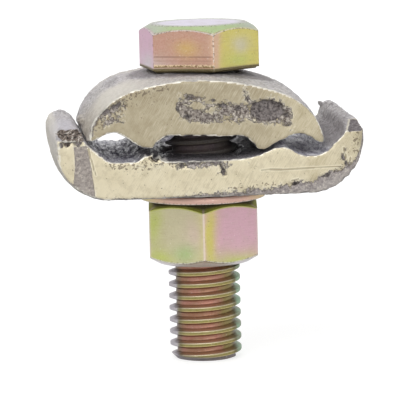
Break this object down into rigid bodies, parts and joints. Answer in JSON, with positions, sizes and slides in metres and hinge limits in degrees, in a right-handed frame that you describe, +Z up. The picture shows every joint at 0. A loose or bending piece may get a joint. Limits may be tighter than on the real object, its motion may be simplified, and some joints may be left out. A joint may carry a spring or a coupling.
{
  "type": "parallel-groove cable clamp",
  "caption": "Bolted cable clamp with a domed upper jaw nested in a winged lower jaw, cable grooves each side of a hex bolt, and a washer and nut underneath.",
  "frame": {"origin": "centre of the bolt's end face, which the clamp stands on", "axes": "+Z up the bolt to its head, X across the two cable grooves, Y along the cables, -Y the sawn front face"},
  "size_m": [0.04, 0.025, 0.0447],
  "materials": {
    "bolt_plating": "yellow zinc plated, iridescent, satin",
    "upper_casting": "sawn and ground ends, grey cast skin elsewhere",
    "lower_casting": "sawn and ground ends, grey cast skin elsewhere",
    "washer_plating": "yellow zinc plated, satin",
    "nut_plating": "yellow zinc plated, iridescent, satin"
  },
  "bodies": {
    "upper_jaw": {"upper_jaw": "upper_casting"},
    "lower_jaw": {"lower_jaw": "lower_casting"},
    "bolt": {"bolt": "bolt_plating"},
    "washer": {"washer": "washer_plating"},
    "nut": {"nut": "nut_plating"}
  },
  "joints": [
    {"name": "bolt_turn", "type": "hinge", "parent": "upper_jaw", "child": "bolt", "pos_m": [0, 0, 0.03], "axis": [0, 0, 1], "continuous": true},
    {"name": "jaw_slide", "type": "slide", "parent": "upper_jaw", "child": "lower_jaw", "axis": [0, 0, -1], "range_m": [0, 0.0111]},
    {"name": "washer_slide", "type": "slide", "parent": "bolt", "child": "washer", "axis": [0, 0, -1], "range_m": [0, 0.0111]},
    {"name": "nut_turn", "type": "hinge", "parent": "washer", "child": "nut", "pos_m": [0, 0, 0.0173], "axis": [0, 0, -1], "range_deg": [0, 2520]}
  ],
  "couplings": [
    {"joint": "washer_slide", "follows": "jaw_slide", "ratio": 1},
    {"joint": "nut_turn", "follows": "jaw_slide", "rad_per_m": 3957.9}
  ]
}
